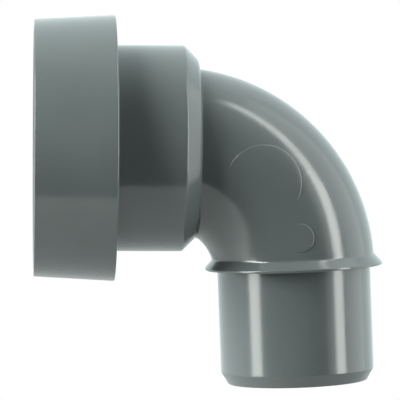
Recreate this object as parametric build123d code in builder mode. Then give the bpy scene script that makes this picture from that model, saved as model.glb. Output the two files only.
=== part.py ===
import os
from math import cos, radians, sin, tan

from build123d import *

# Waste-pipe elbow, one moulding, in millimetres.
# The spigot points straight down and the origin is on its axis, at the seat of the stop ring.
# The socket faces -X and rises by what the bend lacks of a right angle.
# XZ is the plane of symmetry, and the marking pads are on the -Y side.

# Spigot, the plain end that goes into the next socket
spigot_d = 40.0
spigot_len = 30.0
spigot_wall = 3.0
spigot_chamfer_len = 3.1
spigot_chamfer_depth = 1.85

# Bend, whose tube is a little thicker than the spigot
bend_angle = 87.5
bend_r = 32.0
tube_extra_wall = 1.15

# Stop ring, a low cone that ends in a narrow rim over the spigot
ring_projection = 2.05
ring_rim_height = 0.6
ring_cone_height = 2.3
ring_edge_r = 0.25
ring_sink = 1.0

# Step, the narrower cylinder of the socket, which seats the smaller pipe
seat_pipe_d = 50.0
seat_wall = 1.75
seat_stop = 3.0
step_len = 17.7
step_overhang = 2.7
step_edge_r = 1.8
shoulder_bevel = 2.75
shoulder_r = 3.9
funnel_angle = 45.0

# Collar, the large mouth of the socket, which fits the larger pipe and widens towards its back
collar_pipe_d = 63.0
collar_wall = 1.9
collar_taper = 1.15
collar_len = 21.1
collar_floor = 3.2
collar_back_edge_r = 0.4
collar_mouth_edge_r = 0.6
mouth_lead_in = 1.0
pipe_clearance = 0.1

# Marking pads, raised plateaus on the side of the bend, placed by angle and reach from its centre
pad_rise = 0.3
round_pad_d = 19.6
round_pad_angle = 44.2
round_pad_reach = 32.9
oval_pad_len = 10.4
oval_pad_height = 7.5
oval_pad_angle = 15.3
oval_pad_reach = 31.9

# Derived radii
spigot_r = spigot_d / 2
bore_r = spigot_r - spigot_wall
tube_r = spigot_r + tube_extra_wall
ring_r = tube_r + ring_projection
seat_r = seat_pipe_d / 2 + pipe_clearance
step_r = seat_r + seat_wall
chamber_r = collar_pipe_d / 2 + pipe_clearance
collar_mouth_r = chamber_r + collar_wall
collar_back_r = collar_mouth_r + collar_taper

# The bend starts at mid-height of the ring's rim, and its centre is level with that
bend_start_z = ring_rim_height / 2
bend_centre = Vector(-bend_r, 0, bend_start_z)
bend_axis = Axis(bend_centre, (0, -1, 0))

# The socket's axis leaves the bend at its upper end
turn = radians(bend_angle)
socket_dir = Vector(-sin(turn), 0, cos(turn))
socket_start = bend_centre + Vector(cos(turn), 0, sin(turn)) * bend_r
socket_axis = Axis(socket_start, socket_dir)
socket_half = Plane(origin=socket_start, x_dir=socket_dir, z_dir=(0, 1, 0))

# Stations along the socket's axis, counted outwards from the end of the bend
step_end = -step_overhang
step_start = step_end + step_len
mouth = step_start + collar_len
chamber_end = step_start + collar_floor

# The bevel ends where the shoulder's rounding begins, which turns it square to the axis
bevel_end = step_end - shoulder_bevel
bevel_end_r = step_r - shoulder_bevel
shoulder_end = bevel_end - shoulder_r * (1 - cos(radians(45)))
shoulder_end_r = bevel_end_r - shoulder_r * sin(radians(45))

# The stop ring's cone runs on into the tube, so that no ledge is left above it
cone_top_r = tube_r - ring_sink
cone_top_z = ring_rim_height + ring_cone_height * (1 + ring_sink / ring_projection)

# The seat ends in a ledge, and a funnel leads from there to the waterway
ledge_r = seat_r - seat_stop
funnel_tip = -ledge_r / tan(radians(funnel_angle))


# The bend's tube, or its waterway: a circle turned about the bend's axis
def bend_tube(radius):
    with BuildPart() as tube:
        with BuildSketch(Plane.XY.offset(bend_start_z)):
            Circle(radius)
        revolve(axis=bend_axis, revolution_arc=bend_angle)
    return tube.part


# The corner of a profile that lies at a station and a radius
def corner(profile, station, radius):
    return profile.vertices().sort_by_distance((station, radius))[0]


# Outside of the socket: collar, step and shoulder as one turned profile
with BuildPart() as socket:
    with BuildSketch(socket_half) as socket_outline:
        with BuildLine():
            Polyline(
                (shoulder_end, 0),
                (mouth, 0),
                (mouth, collar_mouth_r),
                (step_start, collar_back_r),
                (step_start, step_r),
                (step_end, step_r),
                (bevel_end, bevel_end_r),
            )
            rounding = TangentArc(
                (bevel_end, bevel_end_r),
                (shoulder_end, shoulder_end_r),
                tangent=(-1, -1),
            )
            Line(rounding @ 1, (shoulder_end, 0))
        make_face()
        fillet(corner(socket_outline, mouth, collar_mouth_r), collar_mouth_edge_r)
        fillet(corner(socket_outline, step_start, collar_back_r), collar_back_edge_r)
        fillet(corner(socket_outline, step_end, step_r), step_edge_r)
    revolve(axis=socket_axis)

# Outside of the spigot, with the stop ring over it
with BuildPart() as spigot:
    with BuildSketch(Plane.XZ) as spigot_outline:
        with BuildLine():
            Polyline(
                (0, cone_top_z),
                (cone_top_r, cone_top_z),
                (ring_r, ring_rim_height),
                (ring_r, 0),
                (spigot_r, 0),
                (spigot_r, spigot_chamfer_len - spigot_len),
                (spigot_r - spigot_chamfer_depth, -spigot_len),
                (0, -spigot_len),
                close=True,
            )
        make_face()
        fillet(corner(spigot_outline, ring_r, ring_rim_height), ring_edge_r)
        fillet(corner(spigot_outline, ring_r, 0), ring_edge_r)
    revolve(axis=Axis.Z)

# Marking pads: a slightly fatter bend, kept only inside the pads' outlines
bend_side = Plane(origin=bend_centre, x_dir=(1, 0, 0), z_dir=(0, -1, 0))
with BuildPart() as pads:
    add(bend_tube(tube_r + pad_rise))
    with BuildSketch(bend_side):
        with PolarLocations(round_pad_reach, 1, start_angle=round_pad_angle):
            Circle(round_pad_d / 2)
        with PolarLocations(oval_pad_reach, 1, start_angle=oval_pad_angle, rotate=False):
            SlotOverall(oval_pad_len, oval_pad_height)
    extrude(amount=ring_r, mode=Mode.INTERSECT)

# Inside of the socket: chamber, seat, ledge and the funnel down to the waterway
with BuildPart() as socket_bore:
    with BuildSketch(socket_half):
        with BuildLine():
            Polyline(
                (mouth, 0),
                (mouth, chamber_r + mouth_lead_in),
                (mouth - mouth_lead_in, chamber_r),
                (chamber_end, chamber_r),
                (chamber_end, seat_r),
                (0, seat_r),
                (0, ledge_r),
                (funnel_tip, 0),
                close=True,
            )
        make_face()
    revolve(axis=socket_axis)

# Waterway inside the spigot
with BuildPart() as spigot_bore:
    with BuildSketch(Plane.XY.offset(-spigot_len)):
        Circle(bore_r)
    extrude(amount=spigot_len + bend_start_z)

# The whole moulding
with BuildPart() as elbow:
    add([bend_tube(tube_r), socket.part, spigot.part, pads.part])
    add([bend_tube(bore_r), socket_bore.part, spigot_bore.part], mode=Mode.SUBTRACT)

elbow.part.label = "elbow"
os.makedirs("parts", exist_ok=True)
export_step(elbow.part, "parts/elbow.step")
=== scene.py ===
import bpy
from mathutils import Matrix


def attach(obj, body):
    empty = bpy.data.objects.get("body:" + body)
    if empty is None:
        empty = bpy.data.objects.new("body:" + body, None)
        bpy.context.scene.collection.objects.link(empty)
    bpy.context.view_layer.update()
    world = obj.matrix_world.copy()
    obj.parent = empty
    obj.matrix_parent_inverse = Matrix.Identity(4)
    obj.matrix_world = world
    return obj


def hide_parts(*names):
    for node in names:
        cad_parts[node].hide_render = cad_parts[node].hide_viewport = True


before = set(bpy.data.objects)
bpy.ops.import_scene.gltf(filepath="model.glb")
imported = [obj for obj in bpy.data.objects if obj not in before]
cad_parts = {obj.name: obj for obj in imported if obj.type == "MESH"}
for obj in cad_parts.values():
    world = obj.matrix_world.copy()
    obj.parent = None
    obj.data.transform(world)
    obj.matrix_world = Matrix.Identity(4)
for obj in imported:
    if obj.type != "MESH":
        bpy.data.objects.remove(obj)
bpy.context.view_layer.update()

from math import cos, pi, radians, sin, tan

import bmesh
import bpy
import numpy as np
from mathutils import Matrix, Vector

# Waste-pipe elbow in grey PVC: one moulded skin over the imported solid.
# The spigot points down along -Z, the socket faces -X, and the marking pads are on the -Y side.
# Shapes are worked out in millimetres and degrees, and turned into metres when their mesh is made.
mm = 0.001

elbow = {
    "columns": 236,
    "bendAngle": 87.5,
    "bendRadius": 32.0,
    "bendStart": 0.3,           # height on the spigot's axis where the bend begins
    "tubeRadius": 21.15,
    "boreRadius": 17.0,
    "shoulder": (-5.89, 23.66),  # station and radius where the bevel ends and the rounding begins
    "shoulderRounding": 2.4,
    "shoulderLean": 0.0082,     # the shoulder isn't quite square to the socket's axis
    "ring": (0.6, 23.2),        # height and radius of the top of the ring's rim
    "coneSlope": 2.05 / 2.3,
    "funnel": 22.1,             # radius of the funnel where it meets the ledge
    "crease": 0.2,              # how far back each crease between two surfaces is rounded
    "ringCrease": 0.4,          # the same where the tube meets the ring
    "crotchCrease": 1.3,        # the same where it meets the shoulder at the inner side of the bend
    "crotchFocus": 6,           # how closely that is held to the inner side
    "turnOver": (12.0, -2.0),   # stations between which the step's columns turn to the shoulder's
    "turnBack": (14.0, 0.0),    # the same for the seat's columns and the funnel's
    "insideTurn": 0.5,          # radians from the bend's start, clear of both its ends
    "hair": 1e-6,               # a length that counts as none
    "shoulderRows": 13,
    "bendRows": 84,
    "coneRows": 4,
    "boreRows": 60,
    "funnelRows": 5,
    "sharpFrom": 35,            # an edge that turns by more than this is shaded sharp
}
turn = radians(elbow["bendAngle"])
bendCentre = np.array([-elbow["bendRadius"], 0.0, elbow["bendStart"]])

# Profiles, whose corners are station or height, radius, and rounding
collarAndStep = [
    (36.1, 32.9, 0.0), (36.1, 33.5, 0.12), (15.0, 34.65, 0.4),
    (15.0, 26.85, 0.5), (-2.7, 26.85, 1.1), (-5.89, 23.66, 0.0),
]
ringAndSpigot = [
    (1.2, 22.6652, 0.0), (0.6, 23.2, 0.25), (0.0, 23.2, 0.25), (0.0, 20.0, 0.2),
    (-26.9, 20.0, 0.5), (-30.0, 18.15, 0.3), (-30.0, 17.0, 0.3), (0.3, 17.0, 0.0),
]
seatAndChamber = [
    (-1.2, 20.9, 0.0), (0.0, 22.1, 0.2), (0.0, 25.1, 0.3), (18.2, 25.1, 0.3),
    (18.2, 31.6, 0.4), (35.1, 31.6, 0.25), (36.1, 32.6, 0.15), (36.1, 32.9, 0.0),
]


# Chain of corners: each rounding is an arc tangent to both its sides, and the straight runs
# are cut into steps, with a short one at each end that holds the shading flat
def roundedLine(corners, step=2.6, arcSteps=6, hold=0.12):
    points = np.array([corner[:2] for corner in corners])
    ways = np.diff(points, axis=0)
    lengths = np.hypot(*ways.T)
    ways = ways / lengths[:, None]
    line = [points[:1]]
    used = 0.0
    for i in range(1, len(corners)):
        last = i == len(corners) - 1
        angle = 0.0 if last else np.arccos(np.clip(ways[i - 1] @ ways[i], -1, 1))
        back = 0.0 if last else corners[i][2] * tan(angle / 2)
        run = lengths[i - 1] - used - back
        near = min(hold, run / 4)
        middle = np.linspace(near, run - near, max(2, int(np.ceil(run / step)) + 1))
        line.append(points[i - 1] + ways[i - 1] * (used + middle)[:, None])
        start = points[i] - ways[i - 1] * back
        if back:
            side = np.array([-ways[i - 1][1], ways[i - 1][0]])
            side *= np.sign(side @ ways[i])
            a = np.linspace(0, angle, arcSteps + 1)[:, None]
            line.append(start + corners[i][2] * (ways[i - 1] * np.sin(a) + side * (1 - np.cos(a))))
        else:
            line.append(start[None])
        used = back
    return np.concatenate(line)


# Circle round the socket's axis: along the axis by the station, out by the radius at the angle
def socketPoint(angle, station, radius):
    angle, station, radius = np.broadcast_arrays(angle, station, radius)
    out = radius * np.cos(angle)
    x = bendCentre[0] + elbow["bendRadius"] * cos(turn) - station * sin(turn) + out * cos(turn)
    z = bendCentre[2] + elbow["bendRadius"] * sin(turn) + station * cos(turn) + out * sin(turn)
    return np.stack([x, radius * np.sin(angle), z], -1)


# Circle round the socket's axis, sheared along it in proportion to how far out it reaches
def leaningPoint(angle, station, radius, share=1.0):
    lean = share * elbow["shoulderLean"] * radius * np.cos(angle)
    return socketPoint(angle, station - lean, radius)


# Circle round the spigot's axis: up by the height, out by the radius at the angle
def spigotPoint(angle, height, radius):
    angle, height, radius = np.broadcast_arrays(angle, height, radius)
    return np.stack([radius * np.cos(angle), radius * np.sin(angle), height], -1)


# Torus: the tube's circle, at the angle, turned about the bend's centre
def bendPoint(angle, turned, tube):
    angle, turned = np.broadcast_arrays(angle, turned)
    reach = elbow["bendRadius"] + tube * np.cos(angle)
    x = bendCentre[0] + reach * np.cos(turned)
    z = bendCentre[2] + reach * np.sin(turned)
    return np.stack([x, tube * np.sin(angle), z], -1)


# A point in the socket's own terms: station along its axis, radius from it and angle round it
def inSocket(points, lean=0.0):
    along = (points - bendCentre) @ np.array([-sin(turn), 0, cos(turn)])
    out = (points - bendCentre) @ np.array([cos(turn), 0, sin(turn)]) - elbow["bendRadius"]
    return along + lean * out, np.hypot(out, points[..., 1]), np.arctan2(points[..., 1], out)


# Halving: for every column at once, the turn at which the test goes from above zero to below
def crossing(test, above, below, halvings=44):
    above, below = np.array(above, float), np.array(below, float)
    for _ in range(halvings):
        middle = (above + below) / 2
        outside = test(middle) > 0
        above, below = np.where(outside, middle, above), np.where(outside, below, middle)
    return (above + below) / 2


# Shares of the way from one row to another, as a column and without both ends
def between(rows):
    return np.linspace(0, 1, rows)[1:-1, None]


# Share of the way from the first of two stations to the second, held to 0 and 1 beyond them
def passed(station, ends):
    return np.clip((ends[0] - station) / (ends[0] - ends[1]), 0, 1)


# Quadratic curve from one surface to the other, drawn towards the crease between them
def softCrease(first, crease, second, steps=6):
    k = np.linspace(0, 1, steps + 1)[:, None, None]
    return (1 - k) ** 2 * first + 2 * k * (1 - k) * crease + k ** 2 * second


# The shoulder by its length from the bevel: round its arc, then straight in along the end face
def shoulderLine(length):
    station, radius = elbow["shoulder"]
    r = elbow["shoulderRounding"]
    a = pi / 4 + np.clip(length / r, 0, pi / 4)
    rest = np.maximum(length - r * pi / 4, 0)
    return station - r * (np.sin(a) - sin(pi / 4)), radius + r * (np.cos(a) - cos(pi / 4)) - rest


# Length along that line at which the arc reaches a station
def shoulderLength(station):
    r = elbow["shoulderRounding"]
    reached = sin(pi / 4) + (elbow["shoulder"][0] - station) / r
    return r * (np.arcsin(np.clip(reached, sin(pi / 4), 1)) - pi / 4)


# Radius of the ring's cone at a height: it shrinks evenly from the rim upwards
def coneRadius(height):
    return elbow["ring"][1] - (height - elbow["ring"][0]) * elbow["coneSlope"]


# Signed distance in radius, at a turn of the bend, from the shoulder to the tube
def overShoulder(angle, turned):
    point = bendPoint(angle, turned, elbow["tubeRadius"])
    station, radius, _ = inSocket(point, elbow["shoulderLean"])
    faceStation = shoulderLine(elbow["shoulderRounding"] * pi / 4)[0]
    bevel = elbow["shoulder"][1] + station - elbow["shoulder"][0]
    arc = shoulderLine(shoulderLength(station))[1]
    limit = np.where(station > elbow["shoulder"][0], bevel, arc)
    return np.maximum(faceStation - station, radius - limit)


# The same from the ring's cone to the tube
def overCone(angle, turned):
    point = bendPoint(angle, turned, elbow["tubeRadius"])
    return np.hypot(point[..., 0], point[..., 1]) - coneRadius(point[..., 2])


# The same from the funnel to the waterway
def overFunnel(angle, turned):
    station, radius, _ = inSocket(bendPoint(angle, turned, elbow["boreRadius"]))
    return radius - elbow["funnel"] - station


# Whole wall as one grid that closes on itself: mouth, collar, step, shoulder, bend, ring and
# spigot on the outside, then the waterway, funnel, seat and chamber back to the mouth
def elbowSkin():
    angle = np.arange(elbow["columns"]) * 2 * pi / elbow["columns"]
    tube, bore, soft = elbow["tubeRadius"], elbow["boreRadius"], elbow["crease"]
    inner = ((1 - np.cos(angle)) / 2) ** elbow["crotchFocus"]
    softShoulder = soft + (elbow["crotchCrease"] - soft) * inner
    softRing = elbow["ringCrease"]
    reach = elbow["bendRadius"] + tube * np.cos(angle)
    shoulderStep, ringStep = softShoulder / reach, softRing / reach
    boreStep = soft / (elbow["bendRadius"] + bore * np.cos(angle))
    inside, late = np.full(angle.shape, elbow["insideTurn"]), np.full(angle.shape, turn)

    # where the tube runs into the shoulder
    upper = crossing(lambda turned: overShoulder(angle, turned), inside, late)
    station, radius, socketAngle = inSocket(bendPoint(angle, upper, tube), elbow["shoulderLean"])
    socketAngle = np.unwrap(socketAngle)
    arcLength = elbow["shoulderRounding"] * pi / 4
    faceStation, faceRadius = shoulderLine(arcLength)
    onFace = arcLength + np.maximum(faceRadius - radius, 0)
    onArc = station > faceStation + elbow["hair"]
    reached = np.where(onArc, shoulderLength(station), onFace)

    # where the tube leaves the ring's cone
    lower = crossing(lambda turned: overCone(angle, turned), inside, np.zeros(angle.shape))
    ringPoint = bendPoint(angle, lower, tube)
    ringAngle = np.unwrap(np.arctan2(ringPoint[:, 1], ringPoint[:, 0]))

    # where the waterway opens into the funnel
    opening = crossing(lambda turned: overFunnel(angle, turned), inside, late)
    funnelPoint = bendPoint(angle, opening, bore)
    funnelStation, _, funnelAngle = inSocket(funnelPoint)
    funnelAngle = np.unwrap(funnelAngle)

    # collar and step, whose columns turn over to the shoulder's and take up its lean
    line = roundedLine(collarAndStep)
    share = passed(line[:, :1], elbow["turnOver"])
    columns = angle + share * (socketAngle - angle)
    rows = [leaningPoint(columns, line[:, :1], line[:, 1:], share)]

    # the shoulder's rounding and end face, down to the crease with the tube
    length = between(elbow["shoulderRows"]) * (reached - softShoulder)
    rows.append(leaningPoint(socketAngle, *shoulderLine(length)))
    edge = leaningPoint(socketAngle, *shoulderLine(reached - softShoulder))
    top = upper - shoulderStep
    crease, below = bendPoint(angle, upper, tube), bendPoint(angle, top, tube)
    rows.append(softCrease(edge, crease, below, steps=8))

    # the bend, down to the ring
    end = lower + ringStep
    rows.append(bendPoint(angle, top + between(elbow["bendRows"]) * (end - top), tube))
    coneTop = ringPoint[:, 2] - softRing / np.hypot(1, elbow["coneSlope"])
    onCone = spigotPoint(ringAngle, coneTop, coneRadius(coneTop))
    rows.append(softCrease(bendPoint(angle, end, tube), ringPoint, onCone))

    # the ring's cone and rim, the spigot and the waterway inside it
    line = roundedLine(ringAndSpigot)
    k = between(elbow["coneRows"])
    height = coneTop + k * (line[0, 0] - coneTop)
    rows.append(spigotPoint(ringAngle + k * (angle - ringAngle), height, coneRadius(height)))
    rows.append(spigotPoint(angle, line[:, :1], line[:, 1:]))

    # the waterway's bend and the funnel
    rows.append(bendPoint(angle, between(elbow["boreRows"]) * (opening - boreStep), bore))
    inFunnel = funnelStation + soft * sin(pi / 4)
    beyond = socketPoint(funnelAngle, inFunnel, elbow["funnel"] + inFunnel)
    rows.append(softCrease(bendPoint(angle, opening - boreStep, bore), funnelPoint, beyond))
    line = roundedLine(seatAndChamber)
    station = inFunnel + between(elbow["funnelRows"]) * (line[0, 0] - inFunnel)
    rows.append(socketPoint(funnelAngle, station, elbow["funnel"] + station))

    # ledge, seat and chamber, out to the mouth
    share = passed(line[:, :1], elbow["turnBack"])
    columns = angle + share * (funnelAngle - angle)
    rows.append(socketPoint(columns, line[:, :1], line[:, 1:])[:-1])
    return np.concatenate(rows)


# Quads of a grid that closes on itself both ways
def loopQuads(rowCount, columnCount):
    row, column = np.meshgrid(np.arange(rowCount), np.arange(columnCount), indexing="ij")
    nextRow, nextColumn = (row + 1) % rowCount, (column + 1) % columnCount
    corners = [
        row * columnCount + column, nextRow * columnCount + column,
        nextRow * columnCount + nextColumn, row * columnCount + nextColumn,
    ]
    return np.stack(corners, -1).reshape(-1, 4)


pads = {
    "middle": 0.08,             # share of the highest rise that is left at a pad's middle
    "edge": 0.2,                # rounding of the rim
    "sunk": 0.9,                # how far the wall goes on under the skin
    "columns": 104,
    "rings": (11, 5, 4),        # of the top, the rounded rim and the underside
    "places": [
        {
            "bendAngle": 44.2, "reach": 32.9,       # where it is, from the bend's centre
            "radius": 9.8, "run": 0.0,              # rounding of the ends, half the straight run
            "highest": 0.42, "way": 64,             # highest rise, the way in which it rises
        },
        {
            "bendAngle": 15.3, "reach": 31.9,
            "radius": 3.75, "run": 1.45,
            "highest": 0.24, "way": -8,
        },
    ],
}


# Pad: rings of its outline shrunk to a centre and laid on a tube that grows fatter evenly towards
# one side, then its rim turned down into the skin and closed underneath; the first and last
# rings are single points
def padShell(bendAngle, reach, radius, run, highest, way):
    top, rim, under = pads["rings"]
    half = pads["columns"] // 2
    a = np.linspace(-pi / 2, pi / 2, half)
    a = np.concatenate([a, a + pi])
    shift = np.where(np.arange(2 * half) < half, run, -run)
    down = np.linspace(0, pi / 2, rim + 1)[1:]
    deep = highest + pads["sunk"]
    size = [np.linspace(0, 1, top), np.ones(rim + 1), np.linspace(1, 0, under)[1:]]
    inset = [np.ones(top), 1 - np.sin(down), np.zeros(under)]
    drop = [np.zeros(top), pads["edge"] * (1 - np.cos(down)), np.full(under, deep)]
    size, inset, drop = [np.concatenate(rings)[:, None] for rings in (size, inset, drop)]
    place, way = radians(bendAngle), radians(way)
    radii = radius - pads["edge"] * inset
    x = size * (shift + radii * np.cos(a))
    z = size * radii * np.sin(a)
    along = (x * cos(way) + z * sin(way)) / (radius + run * abs(cos(way)))
    rise = highest * (pads["middle"] + (1 - pads["middle"]) * along)
    x = x + bendCentre[0] + reach * cos(place)
    z = z + bendCentre[2] + reach * sin(place)
    off = np.hypot(x - bendCentre[0], z - bendCentre[2]) - elbow["bendRadius"]
    y = drop - np.sqrt((elbow["tubeRadius"] + rise) ** 2 - off ** 2)
    return np.stack([x, y, z], -1)


# Faces of a pad: quads between its rings, and a fan of triangles at each end
def padFaces(rings, across):
    quads = loopQuads(rings, across).reshape(rings, across, 4)[:-1]
    number = np.arange(rings * across).reshape(rings, across)
    number[0], number[-1] = 0, (rings - 1) * across
    number = number.ravel()
    parts = (quads[0][:, [0, 1, 2]], quads[1:-1].reshape(-1, 4), quads[-1][:, [0, 1, 3]])
    return [face for part in parts for face in number[part].tolist()]


# Socket fed by another node's output, or set to a plain value
def feed(tree, socket, source):
    if isinstance(source, bpy.types.NodeSocket):
        tree.links.new(source, socket)
    else:
        socket.default_value = source


# Mix of two colours, or of two numbers, by a factor
def blended(tree, kind, factor, first, second):
    mix = tree.nodes.new("ShaderNodeMix")
    mix.data_type = kind
    for name, source in {"Factor": factor, "A": first, "B": second}.items():
        feed(tree, mix.inputs[name], source)
    return mix.outputs["Result"]


# Number carried over from one range to another, and held to its ends
def ranged(tree, value, before, after, curve="LINEAR"):
    change = tree.nodes.new("ShaderNodeMapRange")
    change.interpolation_type = curve
    names = ("Value", "From Min", "From Max", "To Min", "To Max")
    for name, source in zip(names, (value, *before, *after)):
        feed(tree, change.inputs[name], source)
    return change.outputs["Result"]


greyPvc = {
    "base": (0.109, 0.1258, 0.1265),
    "mottle": 0.05,             # share by which the colour varies either way
    "mottleScale": 60,          # features to a metre
    "mottleDetail": 3,
    "roughness": 0.17,
    "roughnessVaries": 0.025,   # either way
    "roughnessScale": 220,
    "roughnessDetail": 4,
    "grainDepth": 0.000008,     # metres
    "grainScale": 1100,
    "grainDetail": 3,
    "noiseRange": (0.25, 0.75),     # where nearly all of a noise's values lie
    "ior": 1.72,
}


# Smooth moulded plastic: one grey, faintly clouded, with a slightly uneven gloss and fine grain
def plasticMaterial():
    material = bpy.data.materials.new("greyPvc")
    material.use_nodes = True
    tree = material.node_tree
    surface = tree.nodes["Principled BSDF"]
    place = tree.nodes.new("ShaderNodeTexCoord")

    def noise(name):
        n = tree.nodes.new("ShaderNodeTexNoise")
        feed(tree, n.inputs["Vector"], place.outputs["Object"])
        feed(tree, n.inputs["Scale"], greyPvc[name + "Scale"])
        feed(tree, n.inputs["Detail"], greyPvc[name + "Detail"])
        return n.outputs["Fac"]

    def varied(value, share):
        return [v * (1 - share) for v in value] + [1], [v * (1 + share) for v in value] + [1]

    clouds = ranged(tree, noise("mottle"), greyPvc["noiseRange"], (0, 1))
    colours = varied(greyPvc["base"], greyPvc["mottle"])
    feed(tree, surface.inputs["Base Color"], blended(tree, "RGBA", clouds, *colours))
    low = greyPvc["roughness"] - greyPvc["roughnessVaries"]
    high = greyPvc["roughness"] + greyPvc["roughnessVaries"]
    gloss = ranged(tree, noise("roughness"), greyPvc["noiseRange"], (low, high))
    feed(tree, surface.inputs["Roughness"], gloss)
    grain = tree.nodes.new("ShaderNodeBump")
    feed(tree, grain.inputs["Distance"], greyPvc["grainDepth"])
    feed(tree, grain.inputs["Height"], noise("grain"))
    feed(tree, surface.inputs["Normal"], grain.outputs["Normal"])
    surface.inputs["IOR"].default_value = greyPvc["ior"]
    return material


# One mesh from the skin and the pads, which sink into it
def buildElbow():
    skin = elbowSkin()
    points = [skin.reshape(-1, 3)]
    faces = loopQuads(*skin.shape[:2]).tolist()
    start = len(points[0])
    for place in pads["places"]:
        pad = padShell(**place)
        faces += [[start + i for i in face] for face in padFaces(*pad.shape[:2])]
        points.append(pad.reshape(-1, 3))
        start += len(points[-1])
    mesh = bpy.data.meshes.new("elbowSkin")
    mesh.from_pydata(np.concatenate(points) * mm, [], faces)
    bm = bmesh.new()
    bm.from_mesh(mesh)
    spare = [v for v in bm.verts if not v.link_faces]     # copies of the pads' end points
    bmesh.ops.delete(bm, geom=spare, context="VERTS")
    openEdges = sum(len(e.link_faces) != 2 for e in bm.edges)
    triangles = sum(len(f.verts) - 2 for f in bm.faces)
    print("open edges", openEdges, "triangles", triangles, "volume", bm.calc_volume() / mm ** 3)
    bm.to_mesh(mesh)
    bm.free()
    mesh.shade_smooth()
    mesh.set_sharp_from_angle(angle=radians(elbow["sharpFrom"]))
    return mesh


print("moulding")
piece = bpy.data.objects.new("elbowSkin", buildElbow())
bpy.context.collection.objects.link(piece)
piece.data.materials.append(plasticMaterial())
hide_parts("elbow")
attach(piece, "root")

# Soft boxes by the lower and upper end of their middle line, each as an azimuth from the front
# towards +X, a height angle and a distance in metres; the width is in metres too
softBoxes = {
    "leftBox": {
        "low": (-66.4, -12, 1.25), "high": (-66.4, 8, 1.25), "width": 0.39, "radiance": 5.6,
    },
    "leftKey": {
        "low": (-70, 8, 1.3), "high": (-70, 54, 1.3), "width": 0.6, "radiance": 17.0,
    },
    "rightFoot": {
        "low": (65.7, -22, 1.294), "high": (65.7, -1.5, 1.2), "width": 0.33, "radiance": 5.4,
    },
    "rightBox": {
        "low": (62, -1.5, 1.2), "high": (69, 26, 1.335), "width": 0.295, "radiance": 6.0,
    },
    "rightStrip": {
        "low": (69, 26, 1.335), "high": (74, 67, 3.07), "width": 0.27, "radiance": 5.0,
    },
    "rightSpill": {
        "low": (52, -22, 1.4), "high": (59, 36, 1.5), "width": 0.4, "radiance": 0.6,
    },
    "rightWall": {
        "low": (98, -45, 1.8), "high": (98, 60, 2.4), "width": 0.9, "radiance": 0.6,
    },
}
lampColour = (0.965, 1.0, 0.955)    # very slightly green
aim = Vector((-0.02, 0, 0.02))      # the middle of the elbow, which the lamps face


# Point seen from the elbow at an azimuth, a height angle and a distance
def seenAt(azimuth, height, distance):
    a, h = radians(azimuth), radians(height)
    return aim + distance * Vector((sin(a) * cos(h), -cos(a) * cos(h), sin(h)))


# Rectangle of even radiance that faces the elbow; a lamp's power is pi times its area and radiance
def softBox(name, low, high, width, radiance):
    low, high = seenAt(*low), seenAt(*high)
    lamp = bpy.data.lights.new(name, "AREA")
    lamp.shape = "RECTANGLE"
    lamp.size, lamp.size_y = width, (high - low).length
    lamp.energy = pi * lamp.size * lamp.size_y * radiance
    lamp.color = lampColour
    up = (high - low).normalized()
    back = (low + high) / 2 - aim
    back = (back - back.dot(up) * up).normalized()
    box = bpy.data.objects.new(name, lamp)
    facing = Matrix((up.cross(back), up, back)).transposed().to_4x4()
    box.matrix_world = Matrix.Translation((low + high) / 2) @ facing
    bpy.context.collection.objects.link(box)


print("light")
for name, box in softBoxes.items():
    softBox(name, **box)

room = {
    "colour": (0.865, 0.985, 0.99, 1),
    "towards": (0.67, 1, 0.22),     # how much it grows paler sideways, back and up
    "lean": 0.1,                # how far left of straight ahead the sideways way starts
    "from": (-0.57, 1.31),      # where along these ways the growth starts and ends
    "light": (0.0, 1.3),        # strength there
    "seen": 1.0,                # strength where the camera looks straight at it
    "seenColour": (1, 1, 1, 1),
}


# World: white where the camera looks straight at it, and otherwise a room whose light grows
# in a smooth step with how far the direction goes sideways, back and up
def roomLight():
    world = bpy.data.worlds.new("studioRoom")
    bpy.context.scene.world = world
    world.use_nodes = True
    tree = world.node_tree
    where = tree.nodes.new("ShaderNodeTexCoord")
    split = tree.nodes.new("ShaderNodeSeparateXYZ")
    feed(tree, split.inputs["Vector"], where.outputs["Generated"])
    shifted = tree.nodes.new("ShaderNodeMath")
    feed(tree, shifted.inputs[0], split.outputs["X"])
    feed(tree, shifted.inputs[1], room["lean"])
    sideways = tree.nodes.new("ShaderNodeMath")
    sideways.operation = "ABSOLUTE"
    feed(tree, sideways.inputs[0], shifted.outputs["Value"])
    joined = tree.nodes.new("ShaderNodeCombineXYZ")
    feed(tree, joined.inputs["X"], sideways.outputs["Value"])
    feed(tree, joined.inputs["Y"], split.outputs["Y"])
    feed(tree, joined.inputs["Z"], split.outputs["Z"])
    share = tree.nodes.new("ShaderNodeVectorMath")
    share.operation = "DOT_PRODUCT"
    feed(tree, share.inputs[0], joined.outputs["Vector"])
    feed(tree, share.inputs[1], room["towards"])
    light = ranged(tree, share.outputs["Value"], room["from"], room["light"], "SMOOTHSTEP")
    seen = tree.nodes.new("ShaderNodeLightPath").outputs["Is Camera Ray"]
    strength = blended(tree, "FLOAT", seen, light, room["seen"])
    colour = blended(tree, "RGBA", seen, room["colour"], room["seenColour"])
    feed(tree, tree.nodes["Background"].inputs["Strength"], strength)
    feed(tree, tree.nodes["Background"].inputs["Color"], colour)


roomLight()

table = {
    "height": -0.25,
    "across": (-1.0, 0.38),
    "deep": (-0.34, 1.2),       # its front edge shows in the plastic's gloss
    "seen": (0.8, 0.8, 0.8, 1),     # its colour to the camera
    # near and far are painted shade and painted light: the colour that the elbow reflects and is
    # lit by is darker at the front and paler at the back, as if less light fell on the front
    "near": (0.315, 0.315, 0.315, 1),       # its colour to the elbow, at the front
    "far": (0.52, 0.52, 0.52, 1),       # the same at the back
    "turns": (0.0, 0.6),        # how far back it turns from the one to the other
    "roughness": 0.8,
}
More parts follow.
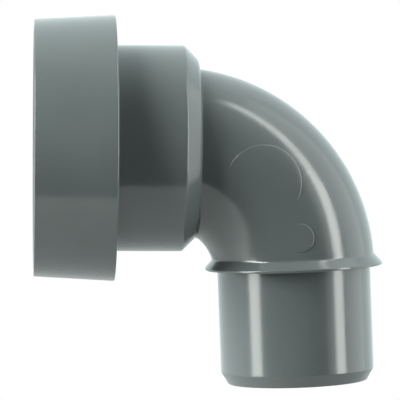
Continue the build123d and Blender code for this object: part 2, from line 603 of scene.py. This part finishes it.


# Table: a rectangle of white paper under the elbow, which the camera sees through from below; to
# the elbow its colour is painted shade at the front, turning to painted light at the back
def whiteTable():
    x, y = np.meshgrid(table["across"], table["deep"])
    corners = np.stack([x, y, np.full(x.shape, table["height"])], -1).reshape(-1, 3)
    mesh = bpy.data.meshes.new("floor")
    mesh.from_pydata(corners, [], [(0, 1, 3, 2)])
    floor = bpy.data.objects.new("floor", mesh)
    bpy.context.collection.objects.link(floor)
    paper = bpy.data.materials.new("whitePaperWithPaintedShade")
    paper.use_nodes = True
    tree = paper.node_tree
    surface = tree.nodes["Principled BSDF"]
    surface.inputs["Roughness"].default_value = table["roughness"]
    place = tree.nodes.new("ShaderNodeTexCoord")
    split = tree.nodes.new("ShaderNodeSeparateXYZ")
    feed(tree, split.inputs["Vector"], place.outputs["Object"])
    # painted shade at the table's front turning to painted light at its back, in the colour that
    # the elbow sees
    back = ranged(tree, split.outputs["Y"], table["turns"], (0, 1), "SMOOTHSTEP")
    paintedShadeAndLight = blended(tree, "RGBA", back, table["near"], table["far"])
    seen = tree.nodes.new("ShaderNodeLightPath").outputs["Is Camera Ray"]
    colour = blended(tree, "RGBA", seen, paintedShadeAndLight, table["seen"])
    feed(tree, surface.inputs["Base Color"], colour)
    side = tree.nodes.new("ShaderNodeNewGeometry")
    clear = tree.nodes.new("ShaderNodeBsdfTransparent")
    mix = tree.nodes.new("ShaderNodeMixShader")
    feed(tree, mix.inputs["Fac"], side.outputs["Backfacing"])
    feed(tree, mix.inputs[1], surface.outputs["BSDF"])
    feed(tree, mix.inputs[2], clear.outputs["BSDF"])
    feed(tree, tree.nodes["Material Output"].inputs["Surface"], mix.outputs["Shader"])
    mesh.materials.append(paper)
    return floor


print("floor")
whiteTable()

shot = {
    "yaw": 3.0622, "pitch": 2.8463, "roll": -2.1654,        # degrees
    "distance": 3518.6956, "right": 93.5215, "up": -65.6429,    # pixels
    "pixel": 0.26182 * mm,      # size of a pixel at the elbow
    "width": 400,               # pixels across the frame
    "sensor": 36,
    "clip": (0.05, 20),
}


# Camera: turned by the three angles, and set back from the point that it looks at
def productCamera():
    roll = Matrix.Rotation(radians(shot["roll"]), 3, "Y")
    pitch = Matrix.Rotation(radians(shot["pitch"]), 3, "X")
    yaw = Matrix.Rotation(radians(shot["yaw"]), 3, "Z")
    towards = (roll @ pitch @ yaw).transposed()
    lens = bpy.data.cameras.new("camera")
    lens.sensor_width = shot["sensor"]
    lens.lens = shot["distance"] * shot["sensor"] / shot["width"]
    lens.clip_start, lens.clip_end = shot["clip"]
    back = towards @ Vector((-shot["right"], -shot["distance"], -shot["up"])) * shot["pixel"]
    middle = Vector((0, 0, elbow["bendStart"] * mm))
    camera = bpy.data.objects.new("camera", lens)
    facing = (towards @ Matrix.Rotation(pi / 2, 3, "X")).to_4x4()
    camera.matrix_world = Matrix.Translation(back + middle) @ facing
    bpy.context.collection.objects.link(camera)
    return camera


print("camera")
bpy.context.scene.camera = productCamera()
bpy.context.scene.view_settings.view_transform = "Standard"

bpy.context.view_layer.update()
